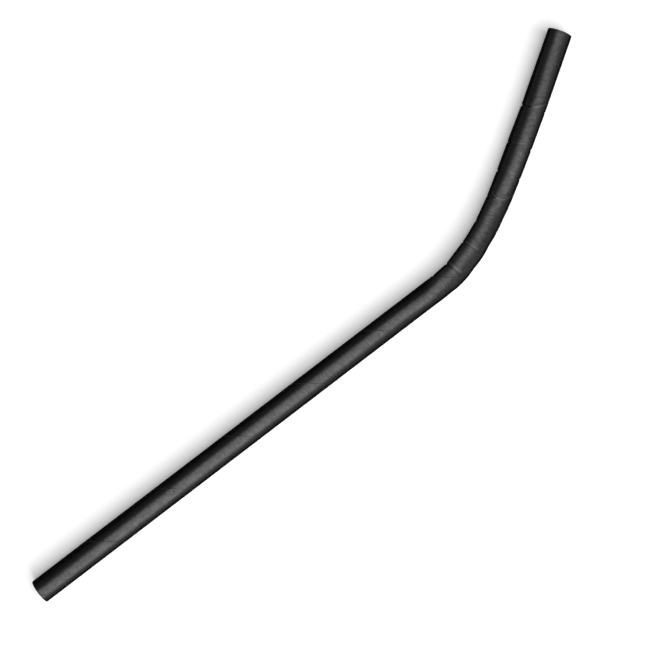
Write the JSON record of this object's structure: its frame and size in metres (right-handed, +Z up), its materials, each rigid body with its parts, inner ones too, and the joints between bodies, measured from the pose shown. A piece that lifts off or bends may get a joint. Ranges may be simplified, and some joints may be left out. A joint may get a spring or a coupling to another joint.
{
  "type": "bendable paper drinking straw",
  "caption": "Slim black paper drinking straw lying flat, a wound tube with a folded flexible section bent to one side near the mouth end.",
  "frame": {"origin": "middle of the footprint's bounding box, on the table that the straw lies on", "axes": "+X along the long leg from the foot end towards the folds, +Y to the side that the mouth end bends to, +Z up"},
  "size_m": [0.1814, 0.0362, 0.006],
  "materials": {
    "black_paper": "dyed black paper, lightly calendered, with a soft sheen"
  },
  "bodies": {
    "root": {"straw": "black_paper"}
  },
  "joints": []
}
